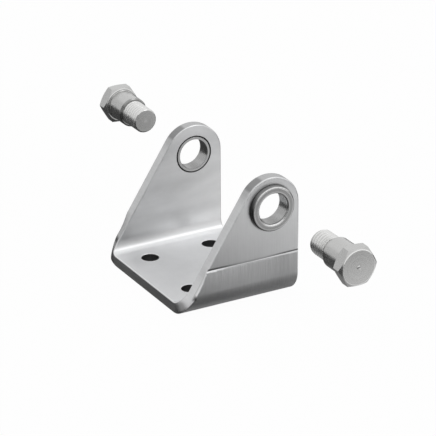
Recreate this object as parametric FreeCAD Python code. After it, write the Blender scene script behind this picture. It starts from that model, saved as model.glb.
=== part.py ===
import FreeCAD, Part
import math
import os

# Rear clevis mount for a pneumatic cylinder, in millimetres.
# +Z is up and the base stands on Z = 0. +Y runs along the pivot axis to the left ear, and +X
# points to the upright rear edges of the ears. The origin is the middle of the base's underside.

# Folded bracket
plate_thickness = 4.5
ear_gap = 55.0
inside_bend_radius = 4.5
base_length = 49.0
pivot_height = 38.0
ear_head_radius = 12.0
slant_foot_height = 3.0
foot_corner_radius = 5.0
neutral_depth = 1.8
rim_draw_in = 1.2
outer_rim_rounding = 0.7
inner_rim_chamfer = 0.3
press_line_height = 18.0
press_line_end_width = 1.3
press_line_end_depth = 0.25
press_line_middle_depth = 0.08

# Mounting holes in the base
hole_diameter = 6.8
hole_pitch_x = 26.5
hole_pitch_y = 32.0
hole_edge_break = 0.2

# Flanged bushings
bushing_wall = 1.45
bushing_seat_clearance = 0.02
flange_overhang = 1.5
flange_thickness = 2.0
flange_chamfer = 0.55
mouth_chamfer = 0.5
lead_taper_depth = 0.45
lead_taper_length = 1.2
ear_bore_edge_break = 0.1

# Pivot pins
shoulder_diameter = 12.0
shoulder_length = 10.0
shoulder_clearance = 0.05
shoulder_chamfer = 0.5
thread_diameter = 10.0
thread_length = 10.5
thread_chamfer = 0.6
hex_width = 14.0
hex_height = 5.2
hex_face_inset = 0.4
hex_chamfer_angle = 35.0
pip_radius = 0.8
pip_height = 0.3
head_seat_gap = 0.2
pin_pull_out = 53.8

# Cutting tools reach this far past the metal
overcut = 2.0

# Sizes that follow from those above
outside_bend_radius = inside_bend_radius + plate_thickness
half_length = base_length / 2
half_gap = ear_gap / 2
half_width = half_gap + plate_thickness
bend_centre_y = half_gap - inside_bend_radius
neutral_radius = inside_bend_radius + neutral_depth
bend_run = neutral_radius * math.pi / 2
press_line_rise = press_line_height - outside_bend_radius
pivot_x = half_length - ear_head_radius
shoulder_radius = shoulder_diameter / 2
bore_radius = shoulder_radius + shoulder_clearance
barrel_radius = bore_radius + bushing_wall
ear_bore_radius = barrel_radius + bushing_seat_clearance
flange_radius = barrel_radius + flange_overhang
flange_face_y = half_width + flange_thickness
seated_underside_y = flange_face_y + head_seat_gap
shown_underside_y = seated_underside_y + pin_pull_out

# The two sides of the mount, by the sign of their Y
sides = {"left": 1, "right": -1}


def point(x, y, z):
    return FreeCAD.Vector(x, y, z)


def line(start, end):
    return Part.LineSegment(start, end).toShape()


def slant_angle():
    # slope of the ear's front edge, which rises from its foot and touches the round head
    run = pivot_x + half_length
    rise = pivot_height - slant_foot_height
    return math.atan2(rise, run) + math.asin(ear_head_radius / math.hypot(run, rise))


def slant_x(height):
    return (height - slant_foot_height) / math.tan(slant_angle()) - half_length


def ear_plate():
    # flat of the right ear above its bend, with its front left square below the press line
    y = -half_width
    head_start = slant_angle() + math.pi / 2

    def on_head(turn):
        across = ear_head_radius * math.cos(turn)
        up = ear_head_radius * math.sin(turn)
        return point(pivot_x + across, y, pivot_height + up)

    corners = [
        on_head(0),
        point(half_length, y, outside_bend_radius),
        point(-half_length, y, outside_bend_radius),
        point(-half_length, y, press_line_height),
        point(slant_x(press_line_height), y, press_line_height),
        on_head(head_start),
    ]
    edges = [line(start, end) for start, end in zip(corners, corners[1:])]
    edges.append(Part.Arc(on_head(head_start), on_head(head_start / 2), on_head(0)).toShape())
    return Part.Face(Part.Wire(edges)).extrude(point(0, plate_thickness, 0))


def plate_point(x, drop, depth):
    # a place in the right side's plate: drop is how far it lies along the plate below the top of
    # the bend, and depth is its distance from the inner face
    radius = inside_bend_radius + depth
    if drop <= 0:
        return point(x, -bend_centre_y - radius, outside_bend_radius - drop)
    turn = drop / neutral_radius
    return point(x, -bend_centre_y - radius * math.cos(turn), outside_bend_radius - radius * math.sin(turn))


def plate_section(drop, corners):
    points = [plate_point(x, drop, depth) for x, depth in corners]
    return Part.makePolygon(points + points[:1])


def bend():
    corners = [
        (-half_length, 0),
        (half_length, 0),
        (half_length, plate_thickness),
        (-half_length, plate_thickness),
    ]
    section = Part.Face(plate_section(bend_run, corners))
    return section.revolve(point(0, -bend_centre_y, outside_bend_radius), point(-1, 0, 0), 90)


def front_cut_section(drop):
    # the blank's slanted edge stays straight along the plate's neutral layer, and bending draws
    # the outer rim back between the press line and the base
    along = (drop + press_line_rise) / (press_line_rise + bend_run)
    draw = 0.0
    if along > 0:
        draw = rim_draw_in * math.sin(math.pi * along ** 0.7) ** 2
    neutral_x = slant_x(outside_bend_radius - drop)
    front = -half_length - overcut * 4
    inner = -overcut
    outer = plate_thickness + overcut
    return plate_section(drop, [
        (front, inner),
        (neutral_x + draw * inner / plate_thickness, inner),
        (neutral_x + draw * outer / plate_thickness, outer),
        (front, outer),
    ])


def front_cut():
    # what the slanted front edge takes off below the press line, round the bend and out past the foot
    lead_steps = 4
    steps = 12
    foot_drop = outside_bend_radius - slant_foot_height
    step = (press_line_rise + foot_drop + overcut) / steps
    drops = [step * number - press_line_rise for number in range(-lead_steps, steps + 1)]
    cut = Part.makeLoft([front_cut_section(drop) for drop in drops], True, False)
    reach = base_length * 2
    below_line = Part.makeBox(
        reach * 2, reach * 2, reach, point(-reach, -reach, press_line_height - reach)
    )
    return cut.common(below_line)


def mirrored(shape):
    return shape.mirror(point(0, 0, 0), point(0, 1, 0))


def folded_plate():
    right_side = ear_plate().fuse(bend()).removeSplitter().cut(front_cut())
    base = Part.makeBox(
        base_length, bend_centre_y * 2, plate_thickness, point(-half_length, -bend_centre_y, 0)
    )
    return base.fuse([right_side, mirrored(right_side)]).removeSplitter()


def is_plate_face(face, outer):
    # whether this is one of the plate's own two sides, either the outer or the inner one
    surface = face.Surface
    if isinstance(surface, Part.Cylinder) and abs(surface.Axis.x) > 0.99:
        return (surface.Radius > neutral_radius) == outer
    if not isinstance(surface, Part.Plane) or abs(surface.Axis.x) > 0.01:
        return False
    centre = face.CenterOfMass
    depth = centre.z if abs(surface.Axis.z) > 0.99 else half_width - abs(centre.y)
    return (depth < plate_thickness / 2) == outer


def is_rim_face(face):
    return not is_plate_face(face, True) and not is_plate_face(face, False)


def is_front_face(face):
    return face.BoundBox.XMax < 0.01 - half_length


def is_drawn_face(face):
    return isinstance(face.Surface, Part.BSplineSurface)


def edges_between(shape, first_kind, second_kind):
    found = []
    for edge in shape.Edges:
        faces = shape.ancestorsOfType(edge, Part.Face)
        if len(faces) != 2:
            continue
        if any(first_kind(a) and second_kind(b) for a, b in (faces, faces[::-1])):
            found.append(edge)
    return found


def rim_edges(plate, outer):
    return edges_between(plate, is_rim_face, lambda face: is_plate_face(face, outer))


def finished_plate():
    # cutting leaves the outer rims rolled over and the inner ones with only their burr broken
    plate = folded_plate()
    feet = edges_between(plate, is_front_face, is_drawn_face)
    plate = plate.makeFillet(foot_corner_radius, feet)
    plate = plate.makeFillet(outer_rim_rounding, rim_edges(plate, True))
    return plate.makeChamfer(inner_rim_chamfer, rim_edges(plate, False))


def drilled_hole(start, direction, radius, edge_break):
    # a straight hole through the plate, with its first mouth lightly broken
    hole = Part.makeCylinder(radius, plate_thickness + overcut * 2, start - direction * overcut, direction)
    wide = radius + edge_break + overcut
    tip = start + direction * edge_break
    return hole.fuse(Part.makeCone(radius, wide, edge_break + overcut, tip, -direction))


def base_holes():
    down = point(0, 0, -1)
    places = [(x, y) for x in (-1, 1) for y in (-1, 1)]
    return [
        drilled_hole(
            point(x * hole_pitch_x / 2, y * hole_pitch_y / 2, plate_thickness),
            down, hole_diameter / 2, hole_edge_break,
        )
        for x, y in places
    ]


def ear_bore(side):
    inner_face = point(pivot_x, side * half_gap, pivot_height)
    return drilled_hole(inner_face, point(0, side, 0), ear_bore_radius, ear_bore_edge_break)


def press_line(side):
    # the bending die's mark across the ear's outer face, deeper at its ends than in the middle
    def corner(depth, rise):
        return point(0, side * (half_width - depth), press_line_height + rise)

    spread = press_line_end_width / press_line_end_depth / 2
    wide = spread * (press_line_middle_depth + overcut)
    corners = [corner(press_line_middle_depth, 0), corner(-overcut, wide), corner(-overcut, -wide)]
    section = Part.Face(Part.makePolygon(corners + corners[:1]))
    bow_radius = half_length ** 2 / 2 / (press_line_end_depth - press_line_middle_depth)
    axis_point = point(0, side * (half_width - press_line_middle_depth - bow_radius), 0)
    half_turn = math.degrees(math.asin((half_length + overcut) / bow_radius))
    up = point(0, 0, 1)
    section.rotate(axis_point, up, -half_turn)
    return section.revolve(axis_point, up, half_turn * 2)


def bracket():
    cuts = base_holes()
    for side in sides.values():
        cuts.append(ear_bore(side))
        cuts.append(press_line(side))
    return finished_plate().cut(cuts)


def turned(profile, side, datum_y):
    # body of revolution about the pivot axis, whose profile gives each corner as a radius and a
    # distance outward from the datum
    corners = [point(pivot_x + radius, side * (datum_y + out), pivot_height) for radius, out in profile]
    section = Part.Face(Part.makePolygon(corners + corners[:1]))
    return section.revolve(point(pivot_x, 0, pivot_height), point(0, 1, 0), 360)


def bushing(side):
    # measured outward from the ear's inner face
    face = plate_thickness + flange_thickness
    return turned([
        (bore_radius, 0),
        (bore_radius, face - mouth_chamfer),
        (bore_radius + mouth_chamfer, face),
        (flange_radius - flange_chamfer, face),
        (flange_radius, face - flange_chamfer),
        (flange_radius, plate_thickness),
        (barrel_radius, plate_thickness),
        (barrel_radius, lead_taper_length),
        (barrel_radius - lead_taper_depth, 0),
    ], side, half_gap)


def hex_head(side):
    # hexagon with a corner towards +X, its face corners turned off at the chamfer angle
    corner_radius = hex_width / math.sqrt(3)
    turns = [math.radians(60 * number) for number in range(6)]
    corners = [
        point(
            pivot_x + corner_radius * math.cos(turn),
            side * shown_underside_y,
            pivot_height + corner_radius * math.sin(turn),
        )
        for turn in turns
    ]
    outline = Part.Face(Part.makePolygon(corners + corners[:1]))
    prism = outline.extrude(point(0, side * (hex_height + overcut), 0))
    face_radius = hex_width / 2 - hex_face_inset
    outer_radius = corner_radius + overcut
    drop = (outer_radius - face_radius) * math.tan(math.radians(hex_chamfer_angle))
    envelope = turned([
        (0, 0),
        (outer_radius, 0),
        (outer_radius, hex_height - drop),
        (face_radius, hex_height),
        (pip_radius, hex_height),
        (pip_radius - pip_height, hex_height + pip_height),
        (0, hex_height + pip_height),
    ], side, shown_underside_y)
    return prism.common(envelope)


def pin_shank(side):
    # measured outward from the head's underside, so the shoulder and thread run to negative values
    thread_radius = thread_diameter / 2
    end = -shoulder_length - thread_length
    return turned([
        (0, 0),
        (shoulder_radius, 0),
        (shoulder_radius, shoulder_chamfer - shoulder_length),
        (shoulder_radius - shoulder_chamfer, -shoulder_length),
        (thread_radius, -shoulder_length),
        (thread_radius, end + thread_chamfer),
        (thread_radius - thread_chamfer, end),
        (0, end),
    ], side, shown_underside_y)


def pivot_pin(side):
    return hex_head(side).fuse(pin_shank(side)).removeSplitter()


def export(name, shape):
    shape.exportStep(f"parts/{name}.step")
    print(name, "solids", len(shape.Solids), "valid", shape.isValid(), "volume", round(shape.Volume, 1))


os.makedirs("parts", exist_ok=True)
export("bracket", bracket())
for name, side in sides.items():
    export(f"{name}_bushing", bushing(side))
    export(f"{name}_pivot_pin", pivot_pin(side))
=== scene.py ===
import math

import bmesh
import bpy
from mathutils import Matrix, Vector


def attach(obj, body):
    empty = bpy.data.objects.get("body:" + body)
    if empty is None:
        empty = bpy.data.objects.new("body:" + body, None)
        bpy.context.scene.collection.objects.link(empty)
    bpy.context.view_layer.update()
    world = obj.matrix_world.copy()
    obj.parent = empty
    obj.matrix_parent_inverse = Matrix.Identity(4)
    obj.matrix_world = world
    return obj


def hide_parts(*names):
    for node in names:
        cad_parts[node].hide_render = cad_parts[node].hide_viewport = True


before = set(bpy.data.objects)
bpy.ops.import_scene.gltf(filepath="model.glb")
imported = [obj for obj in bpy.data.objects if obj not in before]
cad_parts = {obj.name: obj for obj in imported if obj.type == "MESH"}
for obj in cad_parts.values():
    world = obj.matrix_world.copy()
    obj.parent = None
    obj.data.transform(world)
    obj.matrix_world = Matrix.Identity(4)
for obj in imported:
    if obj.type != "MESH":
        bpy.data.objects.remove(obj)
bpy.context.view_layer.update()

mm = 0.001
print("frame loaded")

# Shared sizes in millimetres, as the CAD solids have them
pivot = {"x": 12.5, "z": 38.0}
ear = {"innerFace": 27.5, "outerFace": 32.0}
sides = {"left": 1, "right": -1}


# Node trees


class Sock:
    # one output of a node, so that the maths of a pattern reads as plain maths
    def __init__(self, graph, node, name=0):
        self.graph = graph
        self.made = node
        self.socket = node.outputs[name]

    def out(self, name):
        return Sock(self.graph, self.made, name)

    def maths(self, operation, *others):
        return self.graph.maths(operation, self, *others)

    def __add__(self, other):
        return self.maths("ADD", other)

    def __sub__(self, other):
        return self.maths("SUBTRACT", other)

    def __mul__(self, other):
        return self.maths("MULTIPLY", other)

    def __truediv__(self, other):
        return self.maths("DIVIDE", other)

    def __gt__(self, other):
        return self.maths("GREATER_THAN", other)

    def __lt__(self, other):
        return self.maths("LESS_THAN", other)

    def __radd__(self, other):
        return self.graph.maths("ADD", other, self)

    def __rsub__(self, other):
        return self.graph.maths("SUBTRACT", other, self)

    def __rmul__(self, other):
        return self.graph.maths("MULTIPLY", other, self)

    def __abs__(self):
        return self.maths("ABSOLUTE")


class Graph:
    def __init__(self, tree):
        self.tree = tree

    def node(self, kind, settings=None, inputs=None, out=0):
        made = self.tree.nodes.new(kind)
        for key, value in (settings or {}).items():
            setattr(made, key, value)
        for key, value in (inputs or {}).items():
            if isinstance(value, Sock):
                self.tree.links.new(value.socket, made.inputs[key])
            else:
                made.inputs[key].default_value = value
        return Sock(self, made, out) if len(made.outputs) else made

    def maths(self, operation, *values):
        return self.node("ShaderNodeMath", {"operation": operation}, dict(enumerate(values)))

    def ramp(self, value, low, high, start=0.0, end=1.0, smooth=True):
        # start below low, end above high, and an eased change between them
        settings = {"interpolation_type": "SMOOTHSTEP" if smooth else "LINEAR"}
        ends = {1: low, 2: high, 3: start, 4: end, 0: value}
        return self.node("ShaderNodeMapRange", settings, ends)

    def rise(self, value, low, high):
        return self.ramp(value, low, high)

    def fall(self, value, low, high):
        return self.ramp(value, low, high, 1.0, 0.0)

    def lowest(self, *values):
        found = values[0]
        for value in values[1:]:
            found = self.maths("MINIMUM", found, value)
        return found

    def highest(self, *values):
        found = values[0]
        for value in values[1:]:
            found = self.maths("MAXIMUM", found, value)
        return found

    def length(self, a, b):
        return self.maths("SQRT", a * a + b * b)

    def noise(self, place, scale, detail=2.0, roughness=0.5):
        inputs = {"Vector": place, "Scale": scale, "Detail": detail, "Roughness": roughness}
        return self.node("ShaderNodeTexNoise", {}, inputs)

    def stretched(self, place, stretch, turn=(0.0, 0.0, 0.0)):
        return self.node("ShaderNodeMapping", {}, {"Vector": place, "Rotation": turn, "Scale": stretch})

    def grey(self, value):
        return self.node("ShaderNodeCombineColor", {}, {0: value, 1: value, 2: value})

    def tinted(self, value, tint):
        return self.node("ShaderNodeVectorMath", {"operation": "SCALE"}, {0: tint, "Scale": value})


def newMaterial(name):
    material = bpy.data.materials.new(name)
    material.use_nodes = True
    material.node_tree.nodes.clear()
    return material, Graph(material.node_tree)


def finishMaterial(graph, surface):
    graph.node("ShaderNodeOutputMaterial", {}, {"Surface": surface})


def newObject(name, data):
    made = bpy.data.objects.new(name, data)
    bpy.context.scene.collection.objects.link(made)
    return made


def varied(value, changes):
    # a change is (amount, noise), half of it up and half down
    for amount, noise in changes:
        value = value + amount * (noise - 0.5)
    return value


def marked(shade, marks):
    # a mark is (amount, mask). It brightens where its mask is 1, or darkens if the amount is below 0.
    for amount, mask in marks:
        shade = shade * (1.0 + amount * mask)
    return shade


def metalSurface(graph, part, shade, roughness, bumps):
    # shade scales the metal's own colour, which stays under the brightest that a metal has.
    # Bumps are (height in mm, strength) pairs.
    brightest = 0.97
    shade = graph.lowest(shade, brightest / max(part["colour"]))
    soft = graph.node("ShaderNodeBevel", {"samples": 6}, {"Radius": part["edgeSoftness"] * mm})
    for height, strength in bumps:
        inputs = {"Strength": strength, "Distance": mm, "Height": height, "Normal": soft}
        soft = graph.node("ShaderNodeBump", {}, inputs)
    return graph.node("ShaderNodeBsdfPrincipled", {}, {
        "Base Color": graph.tinted(shade, part["colour"]),
        "Metallic": 1.0,
        "Roughness": roughness,
        "Normal": soft,
    })


def objectPlace(graph):
    # the point in metres, for the noises, and its three parts in millimetres, for the masks
    place = graph.node("ShaderNodeTexCoord", {}, {}, "Object")
    apart = graph.node("ShaderNodeSeparateXYZ", {}, {0: place})
    return place, apart.out("X") / mm, apart.out("Y") / mm, apart.out("Z") / mm


def distanceFromPivot(graph, x, z):
    return graph.length(x - pivot["x"], z - pivot["z"])


# Folded bracket: satin plated steel with rolled-over rims and drag marks from the bending die

bracket = {
    # sizes in mm, as the CAD solid has them
    "thickness": 4.5,
    "bendRadius": 4.5,
    "bendCentreY": 23.0,
    "bendCentreZ": 9.0,
    "frontX": -24.5,
    "lineHeight": 18.0,
    "holePitchX": 26.5,
    "holePitchY": 32.0,
    "holeRadius": 3.4,
    "headRadius": 12.0,
    "boreRadius": 7.52,
    "flangeRadius": 9.0,
    # finish: a pair holds the places in mm between which a mark comes or goes, a shine brightens, a fade
    # darkens, a painted light, glow or highlight brightens and a painted shade or shadow darkens the colour
    # where light or shade falls, and scales and stretches are a noise's cells to the metre
    "colour": (0.72, 0.724, 0.73),
    "roughness": 0.37,
    "edgeSoftness": 0.13,
    "plainShade": 0.98,
    "outerRise": (-0.5, -0.05),
    "innerEnd": (0.05, 0.4),
    "cloudScale": 55.0,
    "clouds": 0.1,
    "cloudRoughness": 0.1,
    "mottleScale": 170.0,
    "mottle": 0.1,
    "speckScale": 900.0,
    "specks": 0.05,
    "speckRoughness": 0.12,
    "speckBump": 0.012,
    "fineScale": 2600.0,
    "fineBump": 0.006,
    "smearStretch": (26.0, 26.0, 95.0),
    "smearTurn": -38.0,
    "smears": 0.55,
    "grain": 0.12,
    "streakStretch": (420.0, 420.0, 22.0),
    "streaks": 0.3,
    "streakTilt": 0.12,
    "streakPivot": 10.0,
    "scratchStretch": (2400.0, 2400.0, 70.0),
    "scratches": 0.16,
    "scratchBump": 0.02,
    "dragRise": (1.0, 5.0),
    "dragEnd": (-1.2, -0.3),
    "earRise": (9.0, 16.0),
    "cutFade": 0.1,
    "cutRoughness": 0.06,
    "shearStretch": (1500.0, 120.0, 1500.0),
    "shear": 0.16,
    "shearBump": 0.03,
    "openingPaintedShade": 0.77,
    "holeEdge": (0.02, 0.1),
    "holeRim": 0.15,
    "boreEdge": (0.03, 0.15),
    "headFade": 0.26,
    "headEdge": (-0.9, -0.5),
    "headRise": (40.0, 46.0),
    "seatPaintedShadow": 0.55,
    "seatEnd": (0.0, 0.6),
    "linePaintedShade": 0.58,
    "ridgePaintedHighlight": 0.3,
    "lineMiddle": 4.0,
    "lineEnds": (5.0, 19.0),
    "middleShare": 0.22,
    "lineAlong": (-14.0, 0.0),
    "rearShare": 0.25,
    "lineGap": 0.4,
    "grooveWidth": (0.2, 0.55),
    "ridgeWidth": (0.2, 0.6),
    "valleyWidth": 0.75,
    "valleyDepth": 0.3,
    "creasePaintedShade": 0.75,
    "creaseHeight": 8.2,
    "creaseWidth": (0.3, 1.5),
    "creaseFront": (-19.7, -18.9),
    "farCrease": (0.4, 1.4),
    "nearCreaseInset": 2.9,
    "basePaintedLight": 0.15,
    "baseEnd": (4.6, 6.5),
    "lowPaintedLight": 0.6,
    "lowEnd": (1.0, 8.0),
    "bendPaintedShade": 0.1,
    "bendRise": (5.4, 6.0),
    "bendEnd": (9.0, 11.0),
    "bendPaintedGlow": 0.2,
    "glowAlong": (-12.0, 8.0),
    "glowRise": (7.5, 9.5),
    "glowEnd": (10.0, 16.0),
    "earSpan": (22.0, 42.0),
    "earShades": (-0.05, 0.08),
    "outsideSpan": (-16.0, 22.0),
    "outsideShades": (0.34, -0.2),
    "outsideEnd": (-0.6, 0.0),
    "frontPaintedShade": 0.16,
    "frontEnd": (0.05, 0.2),
    "headPatchPaintedShade": 0.42,
    "patchTurn": 124.0,
    "patchRise": (11.35, 11.75),
    "partingFade": 0.22,
    "partingDepth": 3.5,
    "partingWidth": (0.08, 0.3),
    "partingRise": (7.0, 9.0),
    "partingEnd": (12.0, 16.0),
    "cornerPaintedShade": 0.5,
    "cornerFront": (-23.4, -21.6),
    "cornerTop": (4.8, 7.0),
    "cornerSide": (24.0, 27.0),
}


def plateFaces(graph, y, z):
    # depth is the distance from the plate's inner face, the same on base, bends and ears. The masks
    # are the plate's outside, its inside and the cut faces between the two.
    part = bracket
    outward = graph.highest(abs(y) - part["bendCentreY"], 0.0)
    down = graph.highest(part["bendCentreZ"] - z, 0.0)
    depth = graph.length(outward, down) - part["bendRadius"]
    outer = graph.rise(depth - part["thickness"], *part["outerRise"])
    inner = graph.fall(depth, *part["innerEnd"])
    return depth, outer, inner, 1.0 - graph.highest(outer, inner)


def pressLine(graph, x, above, outer):
    # painted shade darkens the line's upper wall and a painted highlight its lower wall, most at the rims
    part = bracket
    atEnds = outer * graph.ramp(abs(x - part["lineMiddle"]), *part["lineEnds"], part["middleShare"], 1.0)
    atFoot = atEnds * graph.ramp(x, *part["lineAlong"], 1.0, part["rearShare"])
    groove = atEnds * graph.fall(abs(above - part["lineGap"]), *part["grooveWidth"])
    ridge = atFoot * graph.fall(abs(above + part["lineGap"]), *part["ridgeWidth"])
    valley = atFoot * graph.ramp(abs(above), 0.0, part["valleyWidth"], 0.0, 1.0, False)
    return groove, ridge, valley


def openings(graph, x, y, z, fromPivot):
    # the walls of the base holes and of the ears' bores, which painted shade darkens
    part = bracket
    across = abs(x) - part["holePitchX"] / 2
    along = abs(y) - part["holePitchY"] / 2
    inHole = graph.fall(graph.length(across, along) - part["holeRadius"], *part["holeEdge"])
    inBore = graph.fall(fromPivot - part["boreRadius"], *part["boreEdge"])
    return graph.highest(inHole * (z < part["thickness"] - part["holeRim"]), inBore)


def footMarks(graph, x, y, z, depth, inner, cut):
    # painted shade marks a crease where bending puckers the slanted cut face beside the outer rim of each
    # foot, above it a fine line parts the rolled rim from the cut face, and painted shade darkens the
    # foot's corner
    part = bracket
    nearSide = y < 0.0
    crease = graph.fall(abs(z - part["creaseHeight"]), *part["creaseWidth"])
    crease = crease * graph.fall(x, *part["creaseFront"])
    crease = crease * graph.rise(depth - part["nearCreaseInset"] * nearSide, *part["farCrease"])
    parting = graph.fall(abs(depth - part["partingDepth"]), *part["partingWidth"]) * cut * (x < 0.0)
    parting = parting * graph.rise(z, *part["partingRise"]) * graph.fall(z, *part["partingEnd"])
    corner = graph.fall(x, *part["cornerFront"]) * graph.fall(z, *part["cornerTop"])
    corner = corner * graph.rise(abs(y), *part["cornerSide"]) * (1.0 - inner)
    return crease, parting, corner


def bracketSteel():
    part = bracket
    material, graph = newMaterial("platedSteel")
    place, x, y, z = objectPlace(graph)
    depth, outer, inner, cut = plateFaces(graph, y, z)
    fromPivot = distanceFromPivot(graph, x, z)
    aboveLine = z - part["lineHeight"]
    ears = graph.rise(z, *part["earRise"])

    clouds = graph.noise(place, part["cloudScale"], 3.0)
    mottle = graph.noise(place, part["mottleScale"], 3.0, 0.6)
    fine = graph.noise(place, part["fineScale"], 2.0, 0.6)
    specks = graph.noise(place, part["speckScale"], 3.0, 0.7)

    # the die drags the bend's outside upwards, in streaks that each tilt the surface a little
    streaks = graph.noise(graph.stretched(place, part["streakStretch"]), 1.0, 4.0, 0.75)
    scratches = graph.noise(graph.stretched(place, part["scratchStretch"]), 1.0, 2.0, 0.6)
    dragged = outer * graph.fall(aboveLine, *part["dragEnd"]) * graph.rise(z, *part["dragRise"])
    tilt = (streaks - 0.5) * (z - part["streakPivot"]) * dragged

    # soft smears inside the ears, where the coil's surface shows, and a fine grain outside
    turn = (0.0, math.radians(part["smearTurn"]), 0.0)
    smears = graph.noise(graph.stretched(place, part["smearStretch"], turn), 1.0, 3.0, 0.55)
    shade = varied(part["plainShade"], [
        (part["clouds"], clouds),
        (part["mottle"], mottle),
        (part["specks"], specks),
        (inner * ears * part["smears"], smears),
        (outer * (1.0 - dragged) * part["grain"], scratches),
    ])

    # painted light and shade: the base is painted a little brighter where it stays flat, the bends'
    # outsides lighter near the floor, the bends' insides darker towards the front with a painted glow at
    # their rear, the ears paler towards the top and the base's front face darker. Outside, painted light
    # fades into painted shade from front to rear below the press line.
    inBend = graph.rise(z, *part["bendRise"]) * graph.fall(z, *part["bendEnd"])
    atRear = graph.ramp(x, *part["glowAlong"], -0.5, 1.0)
    glow = graph.rise(z, *part["glowRise"]) * graph.fall(z, *part["glowEnd"])
    upEar = graph.ramp(z, *part["earSpan"], *part["earShades"])
    alongOutside = graph.ramp(x, *part["outsideSpan"], *part["outsideShades"])

    # painted shade: a dark reflection on the cut face at the shoulder of each ear's head
    patchTurn = math.radians(part["patchTurn"])
    reach = (x - pivot["x"]) * math.cos(patchTurn) + (z - pivot["z"]) * math.sin(patchTurn)
    shade = marked(shade, [
        (part["basePaintedLight"], inner * graph.fall(z, *part["baseEnd"])),
        (part["lowPaintedLight"], outer * graph.fall(z, *part["lowEnd"])),
        (-part["bendPaintedShade"], inner * inBend * (1.0 - atRear)),
        (part["bendPaintedGlow"], inner * atRear * glow),
        (1.0, (1.0 - cut) * ears * upEar),
        (1.0, outer * graph.fall(aboveLine, *part["outsideEnd"]) * alongOutside),
        (-part["frontPaintedShade"], graph.fall(x - part["frontX"], *part["frontEnd"])),
        (-part["headPatchPaintedShade"], cut * graph.rise(reach, *part["patchRise"])),
    ])
    shade = varied(shade, [
        (dragged * part["streaks"], streaks),
        (dragged * part["scratches"], scratches),
    ])

    # cut edges are duller, with shear marks across the plate, and painted shadow darkens the ear in the
    # corner round the bushing's flange. Painted shade and highlight also mark the press line, the feet and
    # the openings
    shear = graph.noise(graph.stretched(place, part["shearStretch"]), 1.0, 3.0, 0.6)
    onHead = graph.rise(fromPivot - part["headRadius"], *part["headEdge"])
    seat = graph.fall(fromPivot - part["flangeRadius"], *part["seatEnd"])
    groove, ridge, valley = pressLine(graph, x, aboveLine, outer)
    crease, parting, corner = footMarks(graph, x, y, z, depth, inner, cut)
    shade = marked(shade, [
        (-1.0, cut * varied(part["cutFade"], [(part["shear"], shear)])),
        (-part["linePaintedShade"], groove),
        (part["ridgePaintedHighlight"], ridge),
        (-part["creasePaintedShade"], crease),
        (-part["partingFade"], parting),
        (-part["cornerPaintedShade"], corner),
        (-part["headFade"], onHead * cut * graph.rise(z, *part["headRise"])),
        (-part["openingPaintedShade"], openings(graph, x, y, z, fromPivot)),
        (-part["seatPaintedShadow"], outer * seat),
    ])
    roughness = varied(part["roughness"] + part["cutRoughness"] * cut, [
        (part["cloudRoughness"], clouds),
        (part["speckRoughness"], specks),
    ])
    surface = metalSurface(graph, part, shade, roughness, [
        (fine, part["fineBump"]),
        (specks, part["speckBump"]),
        (tilt, part["streakTilt"]),
        (scratches * dragged, part["scratchBump"]),
        (shear * cut, part["shearBump"]),
        (valley, part["valleyDepth"]),
    ])
    finishMaterial(graph, surface)
    return material


bracketMaterial = bracketSteel()
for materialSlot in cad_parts["bracket"].material_slots:
    materialSlot.material = bracketMaterial
print("bracket finished")


# Turned pieces stand on the pivot axis. Their rings are given as (radius, outward) in millimetres,
# and the right side's piece is the left one turned half round, so that its thread stays right-hand.


def placed(side, turn, radius, outward):
    across = math.cos(turn) * radius
    return Vector((pivot["x"] + side * across, side * outward, pivot["z"] + math.sin(turn) * radius)) * mm


def turnsRound(segments):
    return [2 * math.pi * step / segments for step in range(segments)]


def roundedCorners(corners, steps=6):
    # a closed profile whose corners (radius, outward, rounding) are eased by arcs
    points = []
    count = len(corners)
    for index, (radius, outward, rounding) in enumerate(corners):
        here = Vector((radius, outward))
        before = Vector(corners[index - 1][:2])
        after = Vector(corners[(index + 1) % count][:2])
        if not rounding:
            points.append(here)
            continue
        towards = (before - here).normalized()
        away = (after - here).normalized()
        halfAngle = towards.angle(away) / 2
        reach = rounding / math.tan(halfAngle)
        centre = here + (towards + away).normalized() * rounding / math.sin(halfAngle)
        start = here + towards * reach - centre
        end = here + away * reach - centre
        sweep = math.pi - halfAngle * 2
        for step in range(steps + 1):
            part = step / steps
            blend = start * math.sin((1 - part) * sweep) + end * math.sin(part * sweep)
            points.append(centre + blend / math.sin(sweep))
    return points


def ringMesh(name, rings, material, closed):
    # rings are lists of points, each with as many as the next. A closed loop of rings has no ends.
    mesh = bpy.data.meshes.new(name)
    bm = bmesh.new()
    made = [[bm.verts.new(spot) for spot in ring] for ring in rings]
    pairs = list(zip(made, made[1:] + made[:1] if closed else made[1:]))
    for first, second in pairs:
        for index in range(len(first)):
            ahead = (index + 1) % len(first)
            bm.faces.new((first[index], first[ahead], second[ahead], second[index]))
    bmesh.ops.remove_doubles(bm, verts=bm.verts, dist=1e-7)
    bmesh.ops.recalc_face_normals(bm, faces=bm.faces)
    bm.to_mesh(mesh)
    bm.free()
    mesh.materials.append(material)
    return newObject(name, mesh)


def smoothed(mesh, sharpAngle):
    # smooth all over, apart from the edges that turn by more than the angle
    mesh.polygons.foreach_set("use_smooth", [True] * len(mesh.polygons))
    mesh.set_sharp_from_angle(angle=math.radians(sharpAngle))


# The scales of the rings and of the wide bands are cells to the mm, and the others cells to the metre
turning = {
    "plainShade": 0.97,
    "ringScale": 5.2,
    "rings": 0.08,
    "bandScale": 0.9,
    "bandRoughness": 0.12,
    "cloudScale": 160.0,
    "clouds": 0.06,
    "cloudRoughness": 0.1,
    "speckScale": 1500.0,
    "specks": 0.05,
}


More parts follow.
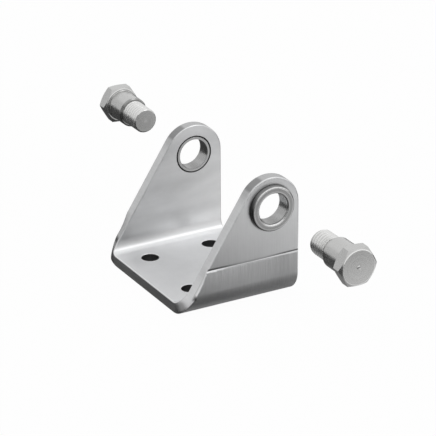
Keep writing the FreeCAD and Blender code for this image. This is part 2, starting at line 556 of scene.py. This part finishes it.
def turnedMetal(name, part, partShade):
    # turning marks run round the pivot axis, as rings on the faces and as bands on the barrels
    material, graph = newMaterial(name)
    place, x, y, z = objectPlace(graph)
    radius = distanceFromPivot(graph, x, z)
    across = graph.node("ShaderNodeCombineXYZ", {}, {0: radius, 1: y, 2: 0.0})
    rings = graph.noise(across, turning["ringScale"], 2.0, 0.7)
    bands = graph.noise(across, turning["bandScale"], 1.0)
    clouds = graph.noise(place, turning["cloudScale"], 2.0)
    specks = graph.noise(place, turning["speckScale"], 2.0, 0.7)
    shade = varied(turning["plainShade"], [
        (turning["rings"], rings),
        (turning["clouds"], clouds),
        (turning["specks"], specks),
    ])
    shade = partShade(graph, shade, radius, x, y, z)
    roughness = varied(part["roughness"], [
        (turning["bandRoughness"], bands),
        (turning["cloudRoughness"], clouds),
    ])
    surface = metalSurface(graph, part, shade, roughness, [
        (rings, part["ringBump"]),
        (bands, part["ringBump"]),
    ])
    finishMaterial(graph, surface)
    return material


# Flanged bushings: turned, with a rounded flange and a rounded mouth

bushing = {
    # sizes in mm
    "boreRadius": 6.05,
    "barrelRadius": 7.5,
    "flangeRadius": 9.0,
    "flangeThickness": 2.0,
    "flangeRounding": 0.75,
    "mouthRounding": 0.7,
    "leadTaperDepth": 0.45,
    "leadTaperLength": 1.2,
    "leadRounding": 0.08,
    "innerRounding": 0.15,
    "footRounding": 0.12,
    "segments": 128,
    "sharpAngle": 32.0,
    # finish
    "colour": (0.47, 0.47, 0.47),
    "roughness": 0.28,
    "edgeSoftness": 0.08,
    "ringBump": 0.012,
    "sidePaintedShade": 0.75,
    "sideRise": (-0.5, -0.05),
    "topLight": 0.3,
    "topRise": (2.5, 7.5),
    "bottomEnd": (-6.5, -4.0),
    "seamPaintedShadow": 0.5,
    "seamEnd": (0.1, 0.5),
    "borePaintedShade": 0.36,
    "boreEnd": (0.05, 0.3),
    "boreRearPaintedLight": 0.3,
    "boreRearRise": (1.0, 5.0),
    "facePaintedShade": 0.2,
    "faceRise": (-1.0, -0.3),
    "mouthRing": 6.6,
    "edgeRing": 8.35,
    "ringWidth": (0.15, 0.5),
    "ringPaintedHighlight": 0.4,
    "litPaintedHighlight": 0.8,
}


def flangeShade(graph, shade, radius, x, y, z):
    # the flange's side, the bore and the line where the flange meets the ear see little light, so painted
    # shade darkens them, the side least at the top, and the flange's face too, while the bore's rear wall
    # is painted lighter. Painted highlights ring the flange's rounding, most at the top, and the mouth's,
    # most at the bottom.
    part = bushing
    out = abs(y) - ear["outerFace"]
    height = z - pivot["z"]
    atTop = graph.rise(height, *part["topRise"])
    atBottom = graph.fall(height, *part["bottomEnd"])
    side = graph.rise(radius - part["flangeRadius"], *part["sideRise"])
    bore = graph.fall(radius - part["boreRadius"], *part["boreEnd"])
    rear = part["boreRearPaintedLight"] * graph.rise(x - pivot["x"], *part["boreRearRise"])
    shine = -part["facePaintedShade"]
    for ring, lit in ((part["mouthRing"], atBottom), (part["edgeRing"], atTop)):
        onRing = graph.fall(abs(radius - ring), *part["ringWidth"])
        shine = shine + (part["ringPaintedHighlight"] + part["litPaintedHighlight"] * lit) * onRing
    return marked(shade, [
        (-1.0, side * (part["sidePaintedShade"] - part["topLight"] * atTop)),
        (-1.0, bore * (part["borePaintedShade"] - rear)),
        (1.0, shine * graph.rise(out - part["flangeThickness"], *part["faceRise"])),
        (-part["seamPaintedShadow"], side * graph.fall(out, *part["seamEnd"])),
    ])


def makeBushing(name, side, material):
    part = bushing
    inner, outer = ear["innerFace"], ear["outerFace"]
    face = outer + part["flangeThickness"]
    corners = [
        (part["boreRadius"], inner, part["innerRounding"]),
        (part["boreRadius"], face, part["mouthRounding"]),
        (part["flangeRadius"], face, part["flangeRounding"]),
        (part["flangeRadius"], outer, part["footRounding"]),
        (part["barrelRadius"], outer, 0),
        (part["barrelRadius"], inner + part["leadTaperLength"], 0),
        (part["barrelRadius"] - part["leadTaperDepth"], inner, part["leadRounding"]),
    ]
    turns = turnsRound(part["segments"])
    spots = roundedCorners(corners)
    rings = [[placed(side, turn, spot.x, spot.y) for turn in turns] for spot in spots]
    piece = ringMesh(name, rings, material, True)
    smoothed(piece.data, part["sharpAngle"])
    return piece


bushingMetal = turnedMetal("turnedBushing", bushing, flangeShade)
for sideName, side in sides.items():
    piece = makeBushing(f"{sideName}Bushing", side, bushingMetal)
    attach(piece, "mount")
    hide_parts(f"{sideName}_bushing")
print("bushings made")


# Pivot pins: hexagon head, plain shoulder and an M10 x 1.5 thread

pin = {
    # sizes in mm. The underside is the head's, and its place is measured from the object's middle.
    "underside": 88.0,
    "hexWidth": 14.0,
    "hexHeight": 5.2,
    "hexFaceInset": 0.4,
    "hexChamferAngle": 35.0,
    "washerFaceInset": 0.35,
    "undersideAngle": 32.0,
    "pipRadius": 0.8,
    "pipHeight": 0.3,
    "pipDome": ((0.0, 1.0), (0.55, 1.0), (0.85, 0.7), (1.0, 0.0)),
    "shoulderRadius": 6.0,
    "neckWidth": 0.2,
    "shoulderLength": 10.0,
    "shoulderChamfer": 0.5,
    "threadRadius": 5.0,
    "threadLength": 10.5,
    "threadPitch": 1.5,
    "threadDepth": 0.92,
    "rootFlat": 1 / 4,  # of the pitch
    "crestFlat": 1 / 8,
    "threadChamfer": 0.55,
    "endDish": ((1.2, 0.03), (0.0, 0.05)),
    "fadeStart": 0.6,
    "fadeEnd": 0.12,
    "runOut": 1.2,
    "ringsPerPitch": 24,
    "segments": 144,
    "sharpAngle": 28.0,
    # finish
    "colour": (0.54, 0.54, 0.535),
    "roughness": 0.27,
    "edgeSoftness": 0.08,
    "ringBump": 0.014,
    "threadPaintedLight": 0.42,
    "threadEnd": (-0.15, 0.0),
    "threadEndPaintedShade": 0.46,
    "endSpan": (0.02, 0.1),
    "facePaintedHighlight": 0.36,
    "faceRise": (-0.1, -0.02),
    "chamferPaintedShade": 0.4,
    "chamferWidth": (0.2, 0.45),
    "rimPaintedHighlight": 0.4,
    "rimRadius": 6.7,
    "rimWidth": (0.1, 0.35),
    "rimDepth": 0.8,
    "rimUnder": (0.1, 0.4),
}


def pinShade(graph, shade, radius, x, y, z):
    # painted light brightens the rolled thread beyond the turned shoulder, painted shade darkens its
    # sheared end and the shoulder's chamfer, and painted highlights brighten the head's face and rims
    part = pin
    top = part["hexHeight"]
    shoulderEnd = -part["shoulderLength"]
    end = shoulderEnd - part["threadLength"]
    out = abs(y) - part["underside"]
    rim = graph.fall(abs(radius - part["rimRadius"]), *part["rimWidth"])
    rim = rim * graph.highest(out > top - part["rimDepth"], graph.fall(abs(out), *part["rimUnder"]))
    chamfer = out - shoulderEnd - part["shoulderChamfer"] / 2
    return marked(shade, [
        (part["threadPaintedLight"], graph.fall(out - shoulderEnd, *part["threadEnd"])),
        (-part["threadEndPaintedShade"], graph.fall(out - end, *part["endSpan"])),
        (part["facePaintedHighlight"], graph.rise(out - top, *part["faceRise"])),
        (-part["chamferPaintedShade"], graph.fall(abs(chamfer), *part["chamferWidth"])),
        (part["rimPaintedHighlight"], rim),
    ])


def threadTree():
    # a right-hand thread on the pivot axis: a grid is wrapped round, and each point's radius
    # follows the flanks, the run-out at the shoulder and the chamfer at the end
    tree = bpy.data.node_groups.new("threadTree", "GeometryNodeTree")
    tree.interface.new_socket("Geometry", in_out="OUTPUT", socket_type="NodeSocketGeometry")
    names = ["Radius", "Length", "Pitch", "Depth", "Chamfer", "Run Out", "Fade Start", "Fade End"]
    names += ["Root Flat", "Crest Flat", "Start", "Axis X", "Axis Z", "Side"]
    for name in names:
        tree.interface.new_socket(name, in_out="INPUT", socket_type="NodeSocketFloat")
    for name in ("Segments", "Rings"):
        tree.interface.new_socket(name, in_out="INPUT", socket_type="NodeSocketInt")
    tree.interface.new_socket("Metal", in_out="INPUT", socket_type="NodeSocketMaterial")
    graph = Graph(tree)
    given = graph.node("NodeGroupInput")
    radius, length, pitch, depth = (given.out(name) for name in names[:4])
    chamfer, runOut, fadeStart, fadeEnd = (given.out(name) for name in names[4:8])
    rootFlat, crestFlat, start, axisX, axisZ, side = (given.out(name) for name in names[8:])
    grid = graph.node("GeometryNodeMeshGrid", {}, {
        "Size X": 1.0,
        "Size Y": 1.0,
        "Vertices X": given.out("Segments") + 1,
        "Vertices Y": given.out("Rings") + 1,
    })
    spot = graph.node("ShaderNodeSeparateXYZ", {}, {0: graph.node("GeometryNodeInputPosition")})
    turn = (spot.out("X") + 0.5) * (2 * math.pi)
    along = (spot.out("Y") + 0.5) * length
    phase = graph.maths("FRACT", along / pitch - turn / (2 * math.pi) + 1.0)
    fromRoot = abs(phase * 2.0 - 1.0)
    crest = graph.ramp(fromRoot, rootFlat, 1.0 - crestFlat, 0.0, 1.0, False)
    shallow = graph.ramp(along, 0.0, runOut, 1.0, 0.0)
    faded = graph.ramp(length - along, fadeEnd, fadeStart, 1.0, 0.0)
    crest = crest + (1.0 - crest) * graph.highest(shallow, faded)
    cut = radius - depth * (1.0 - crest)
    ended = radius - chamfer + (length - along)
    around = graph.lowest(cut, ended)
    wrapped = graph.node("ShaderNodeCombineXYZ", {}, {
        0: axisX + side * around * graph.maths("COSINE", turn),
        1: side * (start - along),
        2: axisZ + around * graph.maths("SINE", turn),
    })
    moved = graph.node("GeometryNodeSetPosition", {}, {"Geometry": grid, "Position": wrapped})
    merged = graph.node("GeometryNodeMergeByDistance", {}, {"Geometry": moved, "Distance": 1e-6})
    solid = graph.node("GeometryNodeRealizeInstances", {}, {"Geometry": merged})
    dressed = graph.node("GeometryNodeSetMaterial", {}, {"Geometry": solid, "Material": given.out("Metal")})
    graph.node("NodeGroupOutput", {}, {"Geometry": dressed})
    return tree


def treeMesh(name, tree, values):
    # runs a geometry tree once and keeps its result as a plain mesh
    holder = newObject(name, bpy.data.meshes.new(name))
    modifier = holder.modifiers.new(name, "NODES")
    modifier.node_group = tree
    for item in tree.interface.items_tree:
        if item.in_out == "INPUT":
            modifier[item.identifier] = values[item.name]
    graphNow = bpy.context.evaluated_depsgraph_get()
    made = bpy.data.meshes.new_from_object(holder.evaluated_get(graphNow))
    holder.modifiers.remove(modifier)
    bpy.data.objects.remove(holder)
    return made


def pinRings(side, segments):
    # rings from the middle of the head's face to the start of the thread
    part = pin
    under = part["underside"]
    faceRadius = part["hexWidth"] / 2 - part["hexFaceInset"]
    slope = math.tan(math.radians(part["hexChamferAngle"]))
    washerRadius = part["hexWidth"] / 2 - part["washerFaceInset"]
    washerSlope = math.tan(math.radians(part["undersideAngle"]))
    top = part["hexHeight"]
    radius, height = part["pipRadius"], part["pipHeight"]
    pip = [(across * radius, top + rise * height) for across, rise in part["pipDome"]]
    columns = []
    for turn in turnsRound(segments):
        offFlat = (turn % (math.pi / 3)) - math.pi / 6
        hexRadius = part["hexWidth"] / 2 / math.cos(offFlat)
        chamferEnd = top - (hexRadius - faceRadius) * slope
        profile = pip + [
            (faceRadius, top),
            (hexRadius, chamferEnd),
            (hexRadius, (hexRadius - washerRadius) * washerSlope),
            (washerRadius, 0.0),
            (part["shoulderRadius"] + part["neckWidth"], 0.0),
            (part["shoulderRadius"], -part["neckWidth"]),
            (part["shoulderRadius"], part["shoulderChamfer"] - part["shoulderLength"]),
            (part["shoulderRadius"] - part["shoulderChamfer"], -part["shoulderLength"]),
            (part["threadRadius"], -part["shoulderLength"]),
        ]
        columns.append([placed(side, turn, radius, under + outward) for radius, outward in profile])
    return list(zip(*columns))


def pinEndRings(side, segments):
    # the thread's end face, very slightly dished by the facing cut
    part = pin
    end = part["underside"] - part["shoulderLength"] - part["threadLength"]
    profile = [(part["threadRadius"] - part["threadChamfer"], 0.0), *part["endDish"]]
    turns = turnsRound(segments)
    return [[placed(side, turn, radius, end + outward) for turn in turns] for radius, outward in profile]


def makePin(name, side, material, tree):
    part = pin
    segments = part["segments"]
    head = ringMesh(f"{name}Head", pinRings(side, segments), material, False)
    end = ringMesh(f"{name}End", pinEndRings(side, segments), material, False)
    thread = treeMesh(f"{name}Thread", tree, {
        "Radius": part["threadRadius"] * mm,
        "Length": part["threadLength"] * mm,
        "Pitch": part["threadPitch"] * mm,
        "Depth": part["threadDepth"] * mm,
        "Chamfer": part["threadChamfer"] * mm,
        "Run Out": part["runOut"] * mm,
        "Fade Start": part["fadeStart"] * mm,
        "Fade End": part["fadeEnd"] * mm,
        "Root Flat": part["rootFlat"],
        "Crest Flat": part["crestFlat"],
        "Start": (part["underside"] - part["shoulderLength"]) * mm,
        "Axis X": pivot["x"] * mm,
        "Axis Z": pivot["z"] * mm,
        "Side": float(side),
        "Segments": segments,
        "Rings": round(part["threadLength"] / part["threadPitch"] * part["ringsPerPitch"]),
        "Metal": material,
    })
    bm = bmesh.new()
    for mesh in (head.data, end.data, thread):
        bm.from_mesh(mesh)
    bmesh.ops.remove_doubles(bm, verts=bm.verts, dist=2e-6)
    bmesh.ops.recalc_face_normals(bm, faces=bm.faces)
    mesh = bpy.data.meshes.new(name)
    bm.to_mesh(mesh)
    openEdges = sum(1 for edge in bm.edges if not edge.is_manifold)
    bm.free()
    for helper in (head, end):
        bpy.data.objects.remove(helper)
    mesh.materials.append(material)
    mesh.polygons.foreach_set("material_index", [0] * len(mesh.polygons))
    smoothed(mesh, part["sharpAngle"])
    print(name, "faces", len(mesh.polygons), "open edges", openEdges)
    return newObject(name, mesh)


pinSteel = turnedMetal("turnedPinSteel", pin, pinShade)
threads = threadTree()
for sideName, side in sides.items():
    piece = makePin(f"{sideName}PivotPin", side, pinSteel, threads)
    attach(piece, f"{sideName}_pin")
    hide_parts(f"{sideName}_pivot_pin")
print("pins made")


# Floor, light and camera

stageLook = {
    "floorSize": 8.0,
    "floorDrop": 0.05 * mm,
    "floorShade": 0.85,
    "floorGlow": 0.97,
    "worldStrength": 0.75,
    "lampPlace": (0.7, -0.5, 1.3),
    "lampAim": (0.0, 0.0, 0.03),
    "lampSize": 0.5,
    "lampPower": 1.1,
}


def seenByEye(graph):
    # 1 for rays that end in the picture, straight or by a reflection, and 0 for those that light things
    rays = graph.node("ShaderNodeLightPath")
    kinds = ("Is Camera Ray", "Is Glossy Ray", "Is Transmission Ray")
    return graph.highest(*[rays.out(kind) for kind in kinds])


def flatCard(name, corners, material):
    # a flat piece of the studio, which isn't part of the object
    mesh = bpy.data.meshes.new(name)
    mesh.from_pydata(corners, [], [tuple(range(len(corners)))])
    mesh.materials.append(material)
    card = newObject(name, mesh)
    return card


def paleFloor():
    look = stageLook
    half = look["floorSize"] / 2
    material, graph = newMaterial("paleFloor")
    seen = seenByEye(graph)
    plain = graph.node("ShaderNodeBsdfDiffuse", {}, {"Color": (look["floorShade"],) * 3 + (1.0,)})
    glow = graph.node("ShaderNodeEmission", {}, {"Color": (1.0, 1.0, 1.0, 1.0), "Strength": 1.0})
    surface = graph.node("ShaderNodeMixShader", {}, {0: seen * look["floorGlow"], 1: plain, 2: glow})
    finishMaterial(graph, surface)
    spots = [(-half, -half), (half, -half), (half, half), (-half, half)]
    flatCard("floor", [(x, y, -look["floorDrop"]) for x, y in spots], material)


# Glowing cards round the object, as a photographer sets them: only the metal's reflections see them, and
# they paint light and shade into those reflections

cards = {
    "lowCard": {
        "lift": -0.02 * mm,
        "radius": 0.9,
        "darkShade": 0.075,
        "poolShade": 0.78,
        "poolX": 75.0,
        "poolY": -110.0,
        "poolSpan": (30.0, 115.0),
        "nearShade": 0.95,
        "nearFrom": (45.0, 0.0),
        "nearTo": (64.0, -45.0),
        "nearSpan": (12.0, 32.0),
        "underShade": 0.165,
        "underSpan": (29.0, 33.0),
        "underFront": -24.0,
    },
    "leftCard": {
        "shade": 0.3,
        "middle": (-0.9, -0.7, 0.45),
        "width": 0.8,
        "height": 0.8,
    },
    "backCard": {
        "shade": 0.78,
        "middle": (-0.75, 1.1, 0.36),
        "width": 1.1,
        "height": 0.7,
    },
}


def hiddenCard(card):
    # the card shows in reflections and nowhere else
    card.visible_camera = False
    card.visible_diffuse = False
    card.visible_transmission = False
    card.visible_shadow = False


def lowCard():
    # seen only in reflections, it paints them dark round the object, like the floor in its shade, with two
    # pale pools of painted light that the ears' faces reflect and a painted pale strip under each bend
    look = cards["lowCard"]
    material, graph = newMaterial("lowCard")
    place, x, y, z = objectPlace(graph)
    away = graph.length(x - look["poolX"], y - look["poolY"])
    pool = graph.ramp(away, *look["poolSpan"], look["poolShade"], look["darkShade"])
    start, end = Vector(look["nearFrom"]), Vector(look["nearTo"])
    run = end - start
    part = ((x - start.x) * run.x + (y - start.y) * run.y) / run.length_squared
    part = graph.lowest(graph.highest(part, 0.0), 1.0)
    near = graph.length(x - start.x - part * run.x, y - start.y - part * run.y)
    nearPool = look["nearShade"] * graph.fall(near, *look["nearSpan"])
    under = look["underShade"] * graph.fall(abs(y), *look["underSpan"]) * (x > look["underFront"])
    shade = graph.highest(under, pool, nearPool)
    glow = graph.node("ShaderNodeEmission", {}, {"Color": graph.grey(shade), "Strength": 1.0})
    finishMaterial(graph, glow)
    reach = look["radius"]
    corners = [(math.cos(turn) * reach, math.sin(turn) * reach, look["lift"]) for turn in turnsRound(48)]
    hiddenCard(flatCard("lowCard", corners, material))


def sideCard(name):
    look = cards[name]
    material, graph = newMaterial(name)
    shade = (look["shade"],) * 3 + (1.0,)
    finishMaterial(graph, graph.node("ShaderNodeEmission", {}, {"Color": shade, "Strength": 1.0}))
    middle = Vector(look["middle"])
    across = Vector((0, 0, 1)).cross(middle).normalized() * look["width"] / 2
    upward = middle.cross(across).normalized() * look["height"] / 2
    low, high = middle - upward, middle + upward
    corners = [low - across, low + across, high + across, high - across]
    hiddenCard(flatCard(name, corners, material))


def studioWorld():
    world = bpy.data.worlds.new("studio")
    bpy.context.scene.world = world
    world.use_nodes = True
    world.node_tree.nodes.clear()
    graph = Graph(world.node_tree)
    seen = seenByEye(graph)
    strength = seen + (1.0 - seen) * stageLook["worldStrength"]
    white = graph.node("ShaderNodeBackground", {}, {"Color": (1.0, 1.0, 1.0, 1.0), "Strength": strength})
    graph.node("ShaderNodeOutputWorld", {}, {"Surface": white})


def softLamp():
    look = stageLook
    lamp = bpy.data.lights.new("softTop", "AREA")
    lamp.shape = "DISK"
    lamp.size = look["lampSize"]
    lamp.energy = look["lampPower"]
    holder = newObject("softTop", lamp)
    place = Vector(look["lampPlace"])
    holder.location = place
    holder.rotation_mode = "QUATERNION"
    holder.rotation_quaternion = (Vector(look["lampAim"]) - place).to_track_quat("-Z", "Y")


cameraView = {
    "azimuth": -29.119,
    "elevation": 23.746,
    "roll": -0.257,
    "distance": 1013.68 * mm,
    "aim": (0.0, 0.0, 28.0 * mm),
    "shiftRight": 6.784 * mm,
    "shiftUp": -3.488 * mm,
    "focalPixels": 2677.3,
    "framePixels": 436,
    "sensor": 36.0,
}


def photoCamera():
    view = cameraView
    azimuth = math.radians(view["azimuth"])
    elevation = math.radians(view["elevation"])
    roll = math.radians(view["roll"])
    level = math.cos(elevation)
    back = Vector((math.sin(azimuth) * level, -math.cos(azimuth) * level, math.sin(elevation)))
    levelRight = Vector((0, 0, 1)).cross(back).normalized()
    levelUp = back.cross(levelRight)
    right = levelRight * math.cos(roll) + levelUp * math.sin(roll)
    up = levelUp * math.cos(roll) - levelRight * math.sin(roll)
    aim = Vector(view["aim"]) + levelRight * view["shiftRight"] + levelUp * view["shiftUp"]
    camera = bpy.data.cameras.new("photoCamera")
    camera.sensor_fit = "HORIZONTAL"
    camera.sensor_width = view["sensor"]
    camera.lens = view["focalPixels"] * view["sensor"] / view["framePixels"]
    camera.clip_start = 0.01
    camera.clip_end = 20.0
    holder = newObject("photoCamera", camera)
    turned = Matrix((right, up, back)).transposed().to_4x4()
    holder.matrix_world = Matrix.Translation(aim + back * view["distance"]) @ turned
    bpy.context.scene.camera = holder


paleFloor()
lowCard()
sideCard("leftCard")
sideCard("backCard")
studioWorld()
softLamp()
photoCamera()
bpy.context.scene.view_settings.view_transform = "Standard"
print("stage ready")
